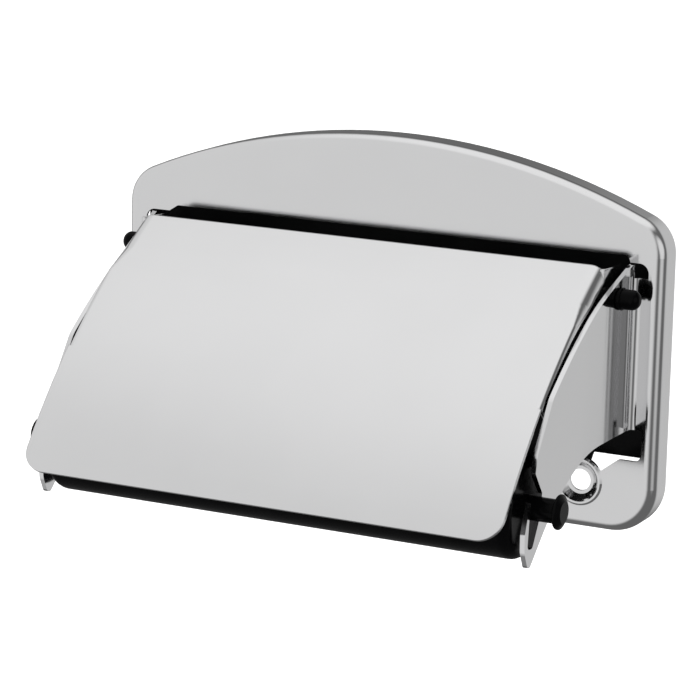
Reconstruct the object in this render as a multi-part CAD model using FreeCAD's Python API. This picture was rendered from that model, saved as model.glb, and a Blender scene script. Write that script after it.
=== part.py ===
import FreeCAD, Part
import math
import os

# Wall-mounted toilet paper holder with a hinged sheet-metal lid, in millimetres.
# X runs along the wall, Y points into the wall and Z is up. The origin is the midpoint
# between the two screw holes, on the wall plane, so the holder itself lies at negative Y.

V = FreeCAD.Vector
INTO_WALL = V(0, 1, 0)
ALONG_X = V(1, 0, 0)

# Face plate: a pressed tray with an arched top
PLATE_WIDTH = 150.0
PLATE_HEIGHT = 93.4
PLATE_DEPTH = 8.0
PLATE_SHEET = 0.8
SCREW_HOLE_HEIGHT = 12.1
ARCH_RADIUS = 173.5
TOP_CORNER_RADIUS = 10.0
BOTTOM_CORNER_RADIUS = 12.0
SHOULDER_RADIUS = 3.0
PLATE_BOTTOM = -SCREW_HOLE_HEIGHT
PLATE_TOP = PLATE_BOTTOM + PLATE_HEIGHT

# Window in the face plate, with a lobe beyond each arm. Its top edge steps up between
# the lobes; the step is upright at the right end and slanted at the left end.
WINDOW_TOP = 57.9
WINDOW_BOTTOM = 2.9
STEP_RIGHT_X = 66.3
STEP_LEFT_TOP_X = -59.9
STEP_LEFT_FOOT_X = -62.4
LOBE_RIGHT_X = 71.2
LOBE_LEFT_X = -69.3
LOBE_TOP = 56.3
LOBE_BOTTOM = 6.8
LOBE_FOOT_X = 65.3
WINDOW_FOOT_X = 60.2

# Screw holes, each at the bottom of a dimple with a raised lip
SCREW_SPACING = 110.0
SCREW_HOLE_RADIUS = 2.75
DIMPLE_FLOOR_RADIUS = 3.6
DIMPLE_RADIUS = 4.9
DIMPLE_DEPTH = 1.1
LIP_RADIUS = 6.3
LIP_HEIGHT = 0.4

# Dark liner behind the window
LINER_SHEET = 0.8
LINER_GAP_TO_WALL = 1.0
LINER_HALF_WIDTH = 71.8
LINER_TOP = 60.0
LINER_BOTTOM = 6.2
TONGUE_HALF_WIDTH = 56.2
TONGUE_BOTTOM = 1.4

# Arms, welded behind the face plate by an outward foot. Each is straight in front and
# flares outward towards its root.
ARM_OUTER_X = 65.8
ARM_SHEET = 1.2
ARM_INNER_X = ARM_OUTER_X - ARM_SHEET
FLARE_START_Y = -26.0
FLARE_WIDTH = 1.6
FLARE_RADIUS = 120.0
ARM_ROOT_TOP = 55.9
ARM_ROOT_BOTTOM = 14.4
FOOT_OUTER_X = 72.0
FOOT_TOP = 52.5
FOOT_BOTTOM = 14.6
BEND_RADIUS = 2.0

# Lid, a curved sheet with a flange along each side; its side view is one arc
LID_OUTER_X = 64.1
LID_SHEET = 0.8
LID_REAR = (-19.2, 57.0)
LID_FRONT = (-77.6, 2.4)
LID_RISE = 4.2
REAR_BEND_RADIUS = 3.5
REAR_BEND_END_Y = -29.5
FRONT_BEND_RADIUS = 1.2
FRONT_BEND_START_Y = -36.0
LID_CORNER_RADIUS = 6.0
FLANGE_DEPTH = 4.8
FLANGE_FRONT_Y = -55.0
EAR_BOTTOM = 43.5

# Hinge pegs
HINGE_Y = -14.5
HINGE_Z = 48.5
HINGE_CLEARANCE = 0.08
PEG_RADIUS = 2.5
PEG_END_X = 71.9
PEG_COLLAR_RADIUS = 2.8
PEG_COLLAR_START_X = 66.95
PEG_COLLAR_THICKNESS = 0.4
PEG_HEAD_RADIUS = 3.4
PEG_HEAD_THICKNESS = 1.0
PEG_HEAD_GAP = 0.4

# Roller
ROLLER_Y = -57.5
ROLLER_Z = 6.0
ROLLER_RADIUS = 12.6
ROLLER_HALF_LENGTH = 62.8
ROLLER_WALL = 1.5
END_CAP_LENGTH = 5.0
END_CAP_ROUNDING = 3.0
SPIGOT_LENGTH = 7.0
NECK_RADIUS = 2.9
KNOB_START_X = 70.3
KNOB_FLANGE = 0.7
KNOB_END_X = 71.9
KNOB_RADIUS = 4.2
KNOB_TIP_RADIUS = 2.6
KNOB_ROUNDING = 0.3
SEAT_CLEARANCE = 0.08


def corner_arc(before, corner, after, radius):
    """Tangent points and middle point of the arc that rounds one corner."""
    to_before = (before - corner).normalize()
    to_after = (after - corner).normalize()
    half_angle = to_before.getAngle(to_after) / 2
    setback = radius / math.tan(half_angle)
    bisector = (to_before + to_after).normalize()
    centre = corner + bisector * (radius / math.sin(half_angle))
    middle = centre - bisector * radius
    return corner + to_before * setback, middle, corner + to_after * setback


def rounded_face(corners, place):
    """A flat face from (a, b, radius) corners; place(a, b) gives the point in space."""
    points = [place(a, b) for a, b, radius in corners]
    count = len(points)
    arcs = []
    for index, (a, b, radius) in enumerate(corners):
        corner = points[index]
        if radius == 0:
            arcs.append((corner, None, corner))
            continue
        before = points[index - 1]
        after = points[(index + 1) % count]
        arcs.append(corner_arc(before, corner, after, radius))
    edges = []
    for index, (start, middle, end) in enumerate(arcs):
        if middle is not None:
            edges.append(Part.Arc(start, middle, end).toShape())
        following = arcs[(index + 1) % count][0]
        if end.distanceToPoint(following) > 1e-6:
            edges.append(Part.LineSegment(end, following).toShape())
    return Part.Face(Part.Wire(Part.__sortEdges__(edges)))


def cylinder_along_x(radius, start_x, end_x, y, z):
    low = min(start_x, end_x)
    return Part.makeCylinder(radius, abs(end_x - start_x), V(low, y, z), ALONG_X)


def mirrored(shape):
    """The other side's copy, mirrored across the middle plane."""
    return shape.mirror(V(0, 0, 0), ALONG_X)


def edges_along_y(shape, x, z, reach):
    found = []
    for edge in shape.Edges:
        ends = [vertex.Point for vertex in edge.Vertexes]
        if len(ends) != 2 or abs(ends[0].y - ends[1].y) < 1.0:
            continue
        middle = (ends[0] + ends[1]) * 0.5
        if abs(abs(middle.x) - x) < reach and abs(middle.z - z) < reach:
            found.append(edge)
    return found


def edges_in_front(shape, y):
    return [edge for edge in shape.Edges if abs(edge.BoundBox.YMax - y) < 1e-4]


def plate_blank(inset):
    """The tray's outer form, or its inner form when inset by the sheet thickness."""
    half = PLATE_WIDTH / 2 - inset
    bottom = PLATE_BOTTOM + inset
    depth = PLATE_DEPTH - inset
    arch = ARCH_RADIUS - inset
    arch_centre_z = PLATE_TOP - ARCH_RADIUS
    side_top = arch_centre_z + math.sqrt(arch ** 2 - half ** 2)
    box = Part.makeBox(2 * half, depth, PLATE_HEIGHT, V(-half, -depth, bottom))
    disc = Part.makeCylinder(arch, depth, V(0, -depth, arch_centre_z), INTO_WALL)
    blank = box.common(disc)
    bottom_edges = edges_along_y(blank, half, bottom, 1.0)
    blank = blank.makeFillet(BOTTOM_CORNER_RADIUS - inset, bottom_edges)
    top_edges = edges_along_y(blank, half, side_top, 1.0)
    blank = blank.makeFillet(TOP_CORNER_RADIUS - inset, top_edges)
    return blank.makeFillet(SHOULDER_RADIUS - inset, edges_in_front(blank, -depth))


def window_cutter():
    right_lobe = [
        (LOBE_RIGHT_X, LOBE_TOP, 2.5),
        (LOBE_RIGHT_X, LOBE_BOTTOM, 2.0),
        (LOBE_FOOT_X, LOBE_BOTTOM, 2.0),
        (WINDOW_FOOT_X, WINDOW_BOTTOM, 2.0),
    ]
    left_lobe = [
        (-WINDOW_FOOT_X, WINDOW_BOTTOM, 2.0),
        (-LOBE_FOOT_X, LOBE_BOTTOM, 2.0),
        (LOBE_LEFT_X, LOBE_BOTTOM, 2.0),
        (LOBE_LEFT_X, LOBE_TOP, 2.5),
    ]
    left_step = [(STEP_LEFT_FOOT_X, LOBE_TOP, 0), (STEP_LEFT_TOP_X, WINDOW_TOP, 1.0)]
    right_step = [(STEP_RIGHT_X, WINDOW_TOP, 1.7), (STEP_RIGHT_X, LOBE_TOP, 0)]
    outline = right_step + right_lobe + left_lobe + left_step
    front = -PLATE_DEPTH - 1.0
    return rounded_face(outline, lambda x, z: V(x, front, z)).extrude(INTO_WALL * 3.0)


def screw_dimple(x):
    """The pressed dimple and lip around one screw hole, as a ring of sheet."""
    front = -PLATE_DEPTH
    back = front + PLATE_SHEET
    floor = front + DIMPLE_DEPTH
    profile = [
        (SCREW_HOLE_RADIUS, floor),
        (DIMPLE_FLOOR_RADIUS, floor),
        (DIMPLE_RADIUS, front),
        (DIMPLE_RADIUS + 0.4, front - LIP_HEIGHT),
        (LIP_RADIUS - 0.5, front - LIP_HEIGHT),
        (LIP_RADIUS, front),
        (LIP_RADIUS, back),
        (DIMPLE_RADIUS, back),
        (DIMPLE_FLOOR_RADIUS, floor + PLATE_SHEET),
        (SCREW_HOLE_RADIUS, floor + PLATE_SHEET),
    ]
    points = [V(x + radius, y, 0) for radius, y in profile]
    face = Part.Face(Part.makePolygon(points + points[:1]))
    return face.revolve(V(x, 0, 0), INTO_WALL, 360)


def face_plate():
    tray = plate_blank(0).cut(plate_blank(PLATE_SHEET))
    window = window_cutter()
    dimples = []
    for side in (-1, 1):
        x = side * SCREW_SPACING / 2
        front = V(x, -PLATE_DEPTH - 1.0, 0)
        disc = Part.makeCylinder(LIP_RADIUS, 3.0, front, INTO_WALL)
        window = window.cut(disc)
        tray = tray.cut(disc)
        dimples.append(screw_dimple(x))
    tray = tray.cut(window)
    return tray.fuse(dimples).removeSplitter()


def window_liner():
    """Dark sheet behind the window, with side returns that meet the arms' feet."""
    front = -LINER_GAP_TO_WALL - LINER_SHEET
    outline = [
        (LINER_HALF_WIDTH, LINER_TOP, 3.0),
        (LINER_HALF_WIDTH, LINER_BOTTOM, 0),
        (TONGUE_HALF_WIDTH, LINER_BOTTOM, 0.6),
        (TONGUE_HALF_WIDTH - 1.5, TONGUE_BOTTOM, 0.6),
        (-TONGUE_HALF_WIDTH + 1.5, TONGUE_BOTTOM, 0.6),
        (-TONGUE_HALF_WIDTH, LINER_BOTTOM, 0.6),
        (-LINER_HALF_WIDTH, LINER_BOTTOM, 0),
        (-LINER_HALF_WIDTH, LINER_TOP, 3.0),
    ]
    sheet = rounded_face(outline, lambda x, z: V(x, front, z)).extrude(INTO_WALL * LINER_SHEET)
    foot_back = -PLATE_DEPTH + PLATE_SHEET + ARM_SHEET
    return_depth = front - foot_back
    height = FOOT_TOP - FOOT_BOTTOM - 4.0
    corner = V(LINER_HALF_WIDTH - LINER_SHEET, foot_back, FOOT_BOTTOM + 2.0)
    side_return = Part.makeBox(LINER_SHEET, return_depth, height, corner)
    return sheet.fuse([side_return, mirrored(side_return)]).removeSplitter()


def arm_outline():
    """Side view of an arm as (y, z, radius): jaw, mouth, pocket and the spring prong."""
    root = -PLATE_DEPTH
    jaw = [
        (-32.9, 45.4, 150.0),
        (-51.7, 31.3, 6.0),
        (-60.1, 19.2, 3.0),
        (-60.9, 15.2, 0.5),
        (ROLLER_Y + 0.9, ROLLER_Z + 3.7, 0.5),
        (ROLLER_Y, ROLLER_Z, 0),
    ]
    pocket = [
        (-58.2, 2.8, 0.3),
        (-61.4, -2.6, 1.2),
        (-64.3, -2.3, 1.2),
        (-63.5, 6.0, 0),
        (-62.9, 8.6, 0),
    ]
    prong = [
        (-63.5, 8.9, 0.25),
        (-64.8, 5.2, 2.0),
        (-66.0, 1.6, 4.0),
        (-65.9, -2.6, 4.0),
        (-63.4, -7.8, 1.4),
        (-52.5, 2.0, 50.0),
    ]
    lower_edge = [(-35.8, 13.0, 50.0), (root, ARM_ROOT_BOTTOM, 0)]
    return [(root, ARM_ROOT_TOP, 0)] + jaw + pocket + prong + lower_edge


def arm_sheet():
    """The arm's bent sheet as seen from above: straight wall, flare and outward foot."""
    front = -75.0
    foot_front = -PLATE_DEPTH + PLATE_SHEET
    foot_back = foot_front + ARM_SHEET
    lean = math.atan2(FLARE_WIDTH, foot_back - FLARE_START_Y)
    root_inner_x = ARM_INNER_X + FLARE_WIDTH
    root_outer_x = root_inner_x + ARM_SHEET / math.cos(lean) - ARM_SHEET * math.tan(lean)
    flare_outer_y = FLARE_START_Y - ARM_SHEET * math.tan(lean / 2)
    profile = [
        (ARM_INNER_X, front, 0),
        (ARM_INNER_X, FLARE_START_Y, FLARE_RADIUS),
        (root_inner_x, foot_back, BEND_RADIUS + ARM_SHEET),
        (FOOT_OUTER_X, foot_back, 0),
        (FOOT_OUTER_X, foot_front, 0),
        (root_outer_x, foot_front, BEND_RADIUS),
        (ARM_OUTER_X, flare_outer_y, FLARE_RADIUS - ARM_SHEET),
        (ARM_OUTER_X, front, 0),
    ]
    below = PLATE_BOTTOM
    face = rounded_face(profile, lambda x, y: V(x, y, below))
    return face.extrude(V(0, 0, PLATE_HEIGHT))


def right_arm():
    """The bent sheet trimmed to its side view, with the peg hole and the neck's seat."""
    start_x = ARM_INNER_X - 1.0
    width = FOOT_OUTER_X - start_x + 1.0
    side_view = rounded_face(arm_outline(), lambda y, z: V(start_x, y, z))
    side_view = side_view.extrude(ALONG_X * width)
    foot_corner = V(start_x, -PLATE_DEPTH - 0.5, FOOT_BOTTOM)
    foot_room = Part.makeBox(width, 3.0, FOOT_TOP - FOOT_BOTTOM, foot_corner)
    arm = arm_sheet().common(side_view.fuse(foot_room))
    end_x = start_x + width
    peg_hole = cylinder_along_x(PEG_RADIUS, start_x, end_x, HINGE_Y, HINGE_Z)
    seat_radius = NECK_RADIUS + SEAT_CLEARANCE
    seat = cylinder_along_x(seat_radius, start_x, end_x, ROLLER_Y, ROLLER_Z)
    return arm.cut([peg_hole, seat]).removeSplitter()


def lid_circle():
    """Centre and radius of the lid's side-view arc, and the spoke to its rear edge."""
    rear = V(0, LID_REAR[0], LID_REAR[1])
    front = V(0, LID_FRONT[0], LID_FRONT[1])
    chord = front - rear
    outward = chord.cross(ALONG_X).normalize()
    half = chord.Length / 2
    radius = (half ** 2 + LID_RISE ** 2) / (2 * LID_RISE)
    centre = (rear + front) * 0.5 - outward * (radius - LID_RISE)
    return centre, radius, (rear - centre).normalize(), (front - centre).normalize()


def lid_section(spoke, bend_radius, depth):
    """Cross-section of the lid at one spoke; with a depth it has a flange at each side."""
    centre, radius, rear_spoke, front_spoke = lid_circle()
    right = [(LID_OUTER_X, 0, 0), (LID_OUTER_X, LID_SHEET, 0)]
    if depth:
        inner_x = LID_OUTER_X - LID_SHEET
        right = [
            (LID_OUTER_X, 0, bend_radius),
            (LID_OUTER_X, depth, 0),
            (inner_x, depth, 0),
            (inner_x, LID_SHEET, bend_radius - LID_SHEET),
        ]
    left = [(-x, inset, corner) for x, inset, corner in reversed(right)]

    def place(x, inset):
        return centre + spoke * (radius - inset) + ALONG_X * x

    return rounded_face(right + left, place)


def lid_skin():
    """The curved sheet: wide bends near the hinge, tapering to tight ones, none in front."""
    centre, radius, rear_spoke, front_spoke = lid_circle()

    def spoke_at(y):
        across = (y - centre.y) / radius
        return V(0, across, math.sqrt(1 - across ** 2))

    def stretch(section, start, end):
        return section.revolve(centre, ALONG_X, math.degrees(start.getAngle(end)))

    wide_end = spoke_at(REAR_BEND_END_Y)
    tight_start = spoke_at(FRONT_BEND_START_Y)
    flange_end = spoke_at(FLANGE_FRONT_Y)
    wide = lid_section(rear_spoke, REAR_BEND_RADIUS, FLANGE_DEPTH)
    wide_last = lid_section(wide_end, REAR_BEND_RADIUS, FLANGE_DEPTH)
    tight = lid_section(tight_start, FRONT_BEND_RADIUS, FLANGE_DEPTH)
    plain = lid_section(flange_end, 0, 0)
    taper = Part.makeLoft([wide_last.OuterWire, tight.OuterWire], True, True)
    front = [stretch(tight, tight_start, flange_end), stretch(plain, flange_end, front_spoke)]
    return stretch(wide, rear_spoke, wide_end).fuse([taper] + front)


def right_ear():
    """Hinge ear: the flange's rear end, widened round the peg and behind the rear edge."""
    inner_x = LID_OUTER_X - LID_SHEET
    rear_y, rear_z = LID_REAR
    outline = [
        (rear_y, rear_z - REAR_BEND_RADIUS - 1.5, 0),
        (rear_y, rear_z - 0.8, 0),
        (-4.6, 55.2, 2.5),
        (HINGE_Y + 5.0, EAR_BOTTOM, 4.0),
        (HINGE_Y - 7.0, EAR_BOTTOM, 3.0),
        (-30.0, 44.6, 0),
    ]
    return rounded_face(outline, lambda y, z: V(inner_x, y, z)).extrude(ALONG_X * LID_SHEET)


def front_corner_cutter(side):
    """What rounds one front corner of the lid: a square post less a round one."""
    centre, radius, rear_spoke, front_spoke = lid_circle()
    along = ALONG_X.cross(front_spoke).normalize()
    size = LID_CORNER_RADIUS
    start = V(side * (LID_OUTER_X - size), 0, 0) + centre
    start = start + front_spoke * (radius - 6.0) - along * size
    across = ALONG_X * (side * (size + 1))
    forward = along * (size + 1)
    corners = [start, start + across, start + across + forward, start + forward]
    square = Part.Face(Part.makePolygon(corners + corners[:1])).extrude(front_spoke * 12.0)
    return square.cut(Part.makeCylinder(size, 12.0, start, front_spoke))


def lid():
    ear = right_ear()
    body = lid_skin().fuse([ear, mirrored(ear)]).removeSplitter()
    hole = cylinder_along_x(PEG_RADIUS + HINGE_CLEARANCE, -100, 100, HINGE_Y, HINGE_Z)
    return body.cut([hole, front_corner_cutter(1), front_corner_cutter(-1)])


def right_peg():
    """Plastic hinge peg: inner head, shaft, collar outside the arm, domed end."""
    ear_inner_x = LID_OUTER_X - LID_SHEET
    head_end = ear_inner_x - PEG_HEAD_GAP
    head_start = head_end - PEG_HEAD_THICKNESS
    head = cylinder_along_x(PEG_HEAD_RADIUS, head_start, head_end, HINGE_Y, HINGE_Z)
    shaft = cylinder_along_x(PEG_RADIUS, head_start, PEG_END_X, HINGE_Y, HINGE_Z)
    tip_edges = [edge for edge in shaft.Edges if edge.BoundBox.XMin > PEG_END_X - 0.01]
    shaft = shaft.makeFillet(PEG_RADIUS - 0.3, tip_edges)
    collar_start = PEG_COLLAR_START_X
    collar_end = collar_start + PEG_COLLAR_THICKNESS
    collar = cylinder_along_x(PEG_COLLAR_RADIUS, collar_start, collar_end, HINGE_Y, HINGE_Z)
    return shaft.fuse([head, collar]).removeSplitter()


def roller_tube():
    half = ROLLER_HALF_LENGTH - END_CAP_LENGTH
    outside = cylinder_along_x(ROLLER_RADIUS, -half, half, ROLLER_Y, ROLLER_Z)
    inside = cylinder_along_x(ROLLER_RADIUS - ROLLER_WALL, -half, half, ROLLER_Y, ROLLER_Z)
    return outside.cut(inside)


def right_roller_end():
    """End cap with a spigot in the tube, a neck for the arm's seat and a grip knob."""
    cap_start = ROLLER_HALF_LENGTH - END_CAP_LENGTH
    cap = cylinder_along_x(ROLLER_RADIUS, cap_start, ROLLER_HALF_LENGTH, ROLLER_Y, ROLLER_Z)
    rim = [edge for edge in cap.Edges if edge.BoundBox.XMin > ROLLER_HALF_LENGTH - 0.01]
    cap = cap.makeFillet(END_CAP_ROUNDING, rim)
    spigot_radius = ROLLER_RADIUS - ROLLER_WALL
    spigot_start = cap_start - SPIGOT_LENGTH
    spigot = cylinder_along_x(spigot_radius, spigot_start, cap_start, ROLLER_Y, ROLLER_Z)
    hollow = cylinder_along_x(spigot_radius - ROLLER_WALL, spigot_start, cap_start, ROLLER_Y, ROLLER_Z)
    neck = cylinder_along_x(NECK_RADIUS, ROLLER_HALF_LENGTH, KNOB_START_X, ROLLER_Y, ROLLER_Z)
    flange_end = KNOB_START_X + KNOB_FLANGE
    flange = cylinder_along_x(KNOB_RADIUS, KNOB_START_X, flange_end, ROLLER_Y, ROLLER_Z)
    taper_length = KNOB_END_X - flange_end
    taper_start = V(flange_end, ROLLER_Y, ROLLER_Z)
    taper = Part.makeCone(KNOB_RADIUS, KNOB_TIP_RADIUS, taper_length, taper_start, ALONG_X)
    knob = flange.fuse(taper).removeSplitter()
    rims = [edge for edge in knob.Edges if edge.Curve.TypeId == "Part::GeomCircle"]
    knob = knob.makeFillet(KNOB_ROUNDING, rims)
    return cap.fuse([spigot.cut(hollow), neck, knob]).removeSplitter()


def save(name, shape):
    if not shape.isValid():
        raise ValueError(name + " is not a valid shape")
    shape.exportStep(os.path.join("parts", name + ".step"))
    print(name, len(shape.Solids), round(shape.Volume, 1))


def main():
    os.makedirs("parts", exist_ok=True)
    arm = right_arm()
    peg = right_peg()
    roller_end = right_roller_end()
    save("face_plate", face_plate())
    save("window_liner", window_liner())
    save("arm_right", arm)
    save("arm_left", mirrored(arm))
    save("lid", lid())
    save("hinge_peg_right", peg)
    save("hinge_peg_left", mirrored(peg))
    save("roller_tube", roller_tube())
    save("roller_end_right", roller_end)
    save("roller_end_left", mirrored(roller_end))


main()
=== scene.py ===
import math

import bpy
from mathutils import Matrix, Vector


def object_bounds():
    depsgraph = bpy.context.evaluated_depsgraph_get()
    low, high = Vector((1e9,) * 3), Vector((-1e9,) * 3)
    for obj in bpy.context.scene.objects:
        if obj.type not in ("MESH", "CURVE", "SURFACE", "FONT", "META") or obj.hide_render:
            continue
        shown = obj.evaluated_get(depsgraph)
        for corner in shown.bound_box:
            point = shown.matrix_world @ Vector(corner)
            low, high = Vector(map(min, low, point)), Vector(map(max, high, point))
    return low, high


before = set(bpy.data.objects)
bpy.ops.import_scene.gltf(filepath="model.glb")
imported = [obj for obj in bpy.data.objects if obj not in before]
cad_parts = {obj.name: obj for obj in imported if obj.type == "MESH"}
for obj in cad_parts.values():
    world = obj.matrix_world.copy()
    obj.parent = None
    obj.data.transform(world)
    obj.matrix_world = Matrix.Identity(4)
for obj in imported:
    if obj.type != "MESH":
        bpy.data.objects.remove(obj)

cad_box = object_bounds()

# Camera: where it stands, how it is turned and how long its lens is
CAMERA_PLACE = Vector((0.3406, -0.7114, 0.2017))
CAMERA_AZIMUTH = math.radians(26.47)
CAMERA_ELEVATION = math.radians(12.61)
CAMERA_ROLL = math.radians(1.28)
CAMERA_LENS = 163.3
SENSOR_WIDTH = 36.0

# Studio, in metres and radiance
FLOOR_DROP = 0.20
FLOOR_SIZE = 30.0
FLOOR_GLOW = 0.55
ROOM_GREY = 0.16
BACKDROP = 0.92
FLOOR_TONES = (0.96, 0.96, 0.96), (0.98, 0.98, 0.98)
# Four broad soft lights in a grey room, as (azimuth, elevation, inner angle, outer angle,
# brightness) in degrees and radiance. Azimuth 0 is in front of the holder, positive to its right.
SOFT_LIGHTS = {
    "key": (-45, 22, 62, 88, 0.80),
    "fill": (70, 10, 12, 34, 0.85),
    "rim": (158, 0, 18, 45, 0.62),
    "top": (0, 90, 20, 45, 1.0),
}
# Two area lamps that lift the shadows, as (azimuth, elevation, distance, size, power)
LAMPS = {
    "key_light": (-35, 55, 1.6, 1.2, 12.0),
    "fill_light": (65, 30, 1.8, 1.2, 6.0),
}

# Surfaces. Noise scales are in cycles per metre, lengths in metres.
STEEL_LIGHT = (0.745, 0.745, 0.75)
STEEL_DARK = (0.725, 0.725, 0.73)
PLASTIC_TONES = (0.0008, 0.0008, 0.0009), (0.0018, 0.0018, 0.002)
# Liner tones: black paint made darker than paint alone, so the liner also serves as painted shade
# in the window behind the lid
PAINT_AND_SHADE_TONES = (0.002, 0.002, 0.0022), (0.005, 0.005, 0.0052)
HAZE_SCALE = 38.0
POLISH_LINE_SCALE = 900.0
WAVE_SCALE = 22.0
WAVE_DEPTH = 0.0004
POLISH_LINE_DEPTH = 0.00005
PLASTIC_MOTTLE_SCALE = 90.0
PLASTIC_GRAIN_SCALE = 2600.0
PLASTIC_GRAIN_DEPTH = 0.00002
PAINT_MOTTLE_SCALE = 60.0
PAINT_PEEL_SCALE = 1400.0
PAINT_PEEL_DEPTH = 0.00004
EDGE_BEVEL = 0.00012
EDGE_ANGLE = math.radians(40)
LID_EDGE_ROUNDING = 0.0005
# Polishing lines run along the axis whose noise is stretched
LINES_ALONG_X = (0.03, 1, 1)
LINES_ALONG_Y = (1, 0.03, 1)


def new_material(name):
    """A new node material, with the sockets that its finish is plugged into."""
    material = bpy.data.materials.new(name)
    material.use_nodes = True
    nodes = material.node_tree.nodes
    return material, nodes, material.node_tree.links, nodes["Principled BSDF"]


def add_noise(nodes, links, coordinates, scale, detail, stretch=(1, 1, 1)):
    """Noise in the object's own metres, stretched where a finish runs one way."""
    mapping = nodes.new("ShaderNodeMapping")
    mapping.inputs["Scale"].default_value = stretch
    noise = nodes.new("ShaderNodeTexNoise")
    noise.inputs["Scale"].default_value = scale
    noise.inputs["Detail"].default_value = detail
    links.new(coordinates.outputs["Object"], mapping.inputs["Vector"])
    links.new(mapping.outputs["Vector"], noise.inputs["Vector"])
    return noise.outputs["Fac"]


def add_ramp(nodes, links, factor, low, high, start=0.3, end=0.7):
    """Two tones, blended by a noise."""
    ramp = nodes.new("ShaderNodeValToRGB")
    ramp.color_ramp.elements[0].position = start
    ramp.color_ramp.elements[1].position = end
    ramp.color_ramp.elements[0].color = (*low, 1)
    ramp.color_ramp.elements[1].color = (*high, 1)
    links.new(factor, ramp.inputs["Fac"])
    return ramp.outputs["Color"]


def add_range(nodes, links, factor, low, high, start=0.3, end=0.7):
    """A number that a noise moves between low and high."""
    span = nodes.new("ShaderNodeMapRange")
    span.inputs["From Min"].default_value = start
    span.inputs["From Max"].default_value = end
    span.inputs["To Min"].default_value = low
    span.inputs["To Max"].default_value = high
    links.new(factor, span.inputs["Value"])
    return span.outputs["Result"]


def add_bump(nodes, links, height, strength, distance, below=None):
    """Relief from a noise, on top of the normal below it."""
    bump = nodes.new("ShaderNodeBump")
    bump.inputs["Strength"].default_value = strength
    bump.inputs["Distance"].default_value = distance
    links.new(height, bump.inputs["Height"])
    if below is not None:
        links.new(below, bump.inputs["Normal"])
    return bump.outputs["Normal"]


def polished_steel(name, grain, roughness, edge_rounding=0.0):
    """Bright steel: handling haze, fine polishing lines and the slow waves of pressed sheet."""
    material, nodes, links, shader = new_material(name)
    coordinates = nodes.new("ShaderNodeTexCoord")
    haze = add_noise(nodes, links, coordinates, HAZE_SCALE, 5.0)
    lines = add_noise(nodes, links, coordinates, POLISH_LINE_SCALE, 3.0, grain)
    waves = add_noise(nodes, links, coordinates, WAVE_SCALE, 1.0)
    shader.inputs["Metallic"].default_value = 1.0
    links.new(add_ramp(nodes, links, haze, STEEL_DARK, STEEL_LIGHT), shader.inputs["Base Color"])
    rough = add_range(nodes, links, haze, roughness * 0.75, roughness * 1.3)
    links.new(rough, shader.inputs["Roughness"])
    rounded = None
    if edge_rounding:
        edge = nodes.new("ShaderNodeBevel")
        edge.samples = 8
        edge.inputs["Radius"].default_value = edge_rounding
        rounded = edge.outputs["Normal"]
    wave_normal = add_bump(nodes, links, waves, 0.12, WAVE_DEPTH, rounded)
    line_normal = add_bump(nodes, links, lines, 0.015, POLISH_LINE_DEPTH, wave_normal)
    links.new(line_normal, shader.inputs["Normal"])
    return material


def black_plastic(name, roughness):
    """Moulded black plastic with a fine grain and slightly uneven gloss."""
    material, nodes, links, shader = new_material(name)
    coordinates = nodes.new("ShaderNodeTexCoord")
    mottle = add_noise(nodes, links, coordinates, PLASTIC_MOTTLE_SCALE, 4.0)
    grain = add_noise(nodes, links, coordinates, PLASTIC_GRAIN_SCALE, 2.0)
    colour = add_ramp(nodes, links, mottle, *PLASTIC_TONES)
    links.new(colour, shader.inputs["Base Color"])
    shader.inputs["Specular IOR Level"].default_value = 0.05
    rough = add_range(nodes, links, mottle, roughness * 0.8, roughness * 1.25)
    links.new(rough, shader.inputs["Roughness"])
    links.new(add_bump(nodes, links, grain, 0.08, PLASTIC_GRAIN_DEPTH), shader.inputs["Normal"])
    return material


def black_paint_and_shade(name):
    """Baked black paint on sheet with a faint orange-peel surface. Its near-black tone also
    serves as painted shade for the dark window behind the lid.
    """
    material, nodes, links, shader = new_material(name)
    coordinates = nodes.new("ShaderNodeTexCoord")
    mottle = add_noise(nodes, links, coordinates, PAINT_MOTTLE_SCALE, 4.0)
    peel = add_noise(nodes, links, coordinates, PAINT_PEEL_SCALE, 1.0)
    colour = add_ramp(nodes, links, mottle, *PAINT_AND_SHADE_TONES)
    links.new(colour, shader.inputs["Base Color"])
    shader.inputs["Specular IOR Level"].default_value = 0.1
    links.new(add_range(nodes, links, mottle, 0.3, 0.42), shader.inputs["Roughness"])
    links.new(add_bump(nodes, links, peel, 0.15, PAINT_PEEL_DEPTH), shader.inputs["Normal"])
    return material


def finish_node(name, material):
    """Gives a CAD node its material and softens its sheared edges."""
    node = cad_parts[name]
    node.data.materials.clear()
    node.data.materials.append(material)
    bevel = node.modifiers.new("sheared_edges", "BEVEL")
    bevel.width = EDGE_BEVEL
    bevel.segments = 2
    bevel.limit_method = "ANGLE"
    bevel.angle_limit = EDGE_ANGLE
    bevel.harden_normals = True


def direction(azimuth, elevation):
    """The unit vector towards an azimuth and elevation in degrees, seen from the holder."""
    turn = math.radians(azimuth)
    rise = math.radians(elevation)
    return Vector((
        math.sin(turn) * math.cos(rise),
        -math.cos(turn) * math.cos(rise),
        math.sin(rise),
    ))


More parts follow.
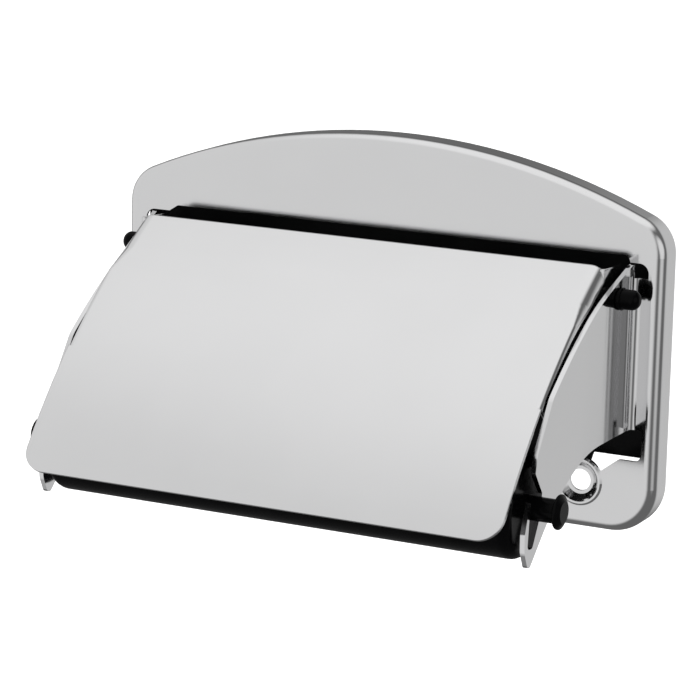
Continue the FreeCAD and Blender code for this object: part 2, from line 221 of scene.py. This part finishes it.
def build_world():
    """A grey room with broad soft lights and a plain pale backdrop behind the holder."""
    world = bpy.data.worlds.new("studio")
    bpy.context.scene.world = world
    world.use_nodes = True
    nodes = world.node_tree.nodes
    links = world.node_tree.links
    background = nodes["Background"]
    coordinates = nodes.new("ShaderNodeTexCoord")

    def smooth(value, start, end):
        step = nodes.new("ShaderNodeMapRange")
        step.interpolation_type = "SMOOTHSTEP"
        step.inputs["From Min"].default_value = start
        step.inputs["From Max"].default_value = end
        links.new(value, step.inputs["Value"])
        return step.outputs["Result"]

    def towards(target, mask, below):
        mix = nodes.new("ShaderNodeMix")
        mix.inputs["B"].default_value = target
        links.new(mask, mix.inputs["Factor"])
        if isinstance(below, float):
            mix.inputs["A"].default_value = below
        else:
            links.new(below, mix.inputs["A"])
        return mix.outputs["Result"]

    radiance = ROOM_GREY
    for azimuth, elevation, inner, outer, brightness in SOFT_LIGHTS.values():
        dot = nodes.new("ShaderNodeVectorMath")
        dot.operation = "DOT_PRODUCT"
        dot.inputs[1].default_value = direction(azimuth, elevation)
        links.new(coordinates.outputs["Generated"], dot.inputs[0])
        start = math.cos(math.radians(outer))
        end = math.cos(math.radians(inner))
        radiance = towards(brightness, smooth(dot.outputs["Value"], start, end), radiance)
    path = nodes.new("ShaderNodeLightPath")
    seen = nodes.new("ShaderNodeMix")
    seen.inputs["B"].default_value = BACKDROP
    links.new(path.outputs["Is Camera Ray"], seen.inputs["Factor"])
    links.new(radiance, seen.inputs["A"])
    links.new(seen.outputs["Result"], background.inputs["Strength"])
    background.inputs["Color"].default_value = (1, 1, 1, 1)


def build_floor():
    """A plain pale floor well below the holder, which hangs as it would on a wall."""
    height = cad_box[0][2] - FLOOR_DROP
    bpy.ops.mesh.primitive_plane_add(size=FLOOR_SIZE, location=(0, 0, height))
    floor = bpy.context.object
    floor.name = "floor"
    material, nodes, links, shader = new_material("pale_floor")
    coordinates = nodes.new("ShaderNodeTexCoord")
    tone = add_noise(nodes, links, coordinates, 1.5, 2.0)
    links.new(add_ramp(nodes, links, tone, *FLOOR_TONES), shader.inputs["Base Color"])
    shader.inputs["Roughness"].default_value = 0.9
    shader.inputs["Emission Color"].default_value = (1, 1, 1, 1)
    shader.inputs["Emission Strength"].default_value = FLOOR_GLOW
    floor.data.materials.append(material)
    floor.visible_glossy = False


def add_soft_light(name, azimuth, elevation, distance, size, power):
    """A square area lamp aimed at the holder, which the steel doesn't mirror."""
    light = bpy.data.lights.new(name, "AREA")
    light.size = size
    light.energy = power
    lamp = bpy.data.objects.new(name, light)
    lamp.location = direction(azimuth, elevation) * distance
    lamp.rotation_euler = (-lamp.location).to_track_quat("-Z", "Y").to_euler()
    lamp.visible_glossy = False
    bpy.context.scene.collection.objects.link(lamp)


def build_camera():
    """The camera at the viewing angle of the reference, with a long lens."""
    camera = bpy.data.cameras.new("camera")
    camera.lens = CAMERA_LENS
    camera.sensor_width = SENSOR_WIDTH
    eye = bpy.data.objects.new("camera", camera)
    turn = Matrix.Rotation(CAMERA_AZIMUTH, 4, "Z")
    tilt = Matrix.Rotation(math.radians(90) - CAMERA_ELEVATION, 4, "X")
    roll = Matrix.Rotation(CAMERA_ROLL, 4, "Z")
    eye.matrix_world = Matrix.Translation(CAMERA_PLACE) @ turn @ tilt @ roll
    bpy.context.scene.collection.objects.link(eye)
    bpy.context.scene.camera = eye


plate_steel = polished_steel("plate_steel", LINES_ALONG_X, 0.10)
lid_steel = polished_steel("lid_steel", LINES_ALONG_X, 0.12, LID_EDGE_ROUNDING)
arm_steel = polished_steel("arm_steel", LINES_ALONG_Y, 0.09)
roller_plastic = black_plastic("roller_plastic", 0.18)
peg_plastic = black_plastic("peg_plastic", 0.07)
# The window liner's black is partly its paint and partly painted shade for the window's dark
# interior
liner_paint_and_shade = black_paint_and_shade("liner_paint_and_shade")

finish_node("face_plate", plate_steel)
finish_node("window_liner", liner_paint_and_shade)
finish_node("lid", lid_steel)
finish_node("roller_tube", roller_plastic)
for side in ("left", "right"):
    finish_node("arm_" + side, arm_steel)
    finish_node("hinge_peg_" + side, peg_plastic)
    finish_node("roller_end_" + side, roller_plastic)

build_world()
build_floor()
for name, settings in LAMPS.items():
    add_soft_light(name, *settings)
build_camera()
bpy.context.scene.view_settings.view_transform = "Standard"
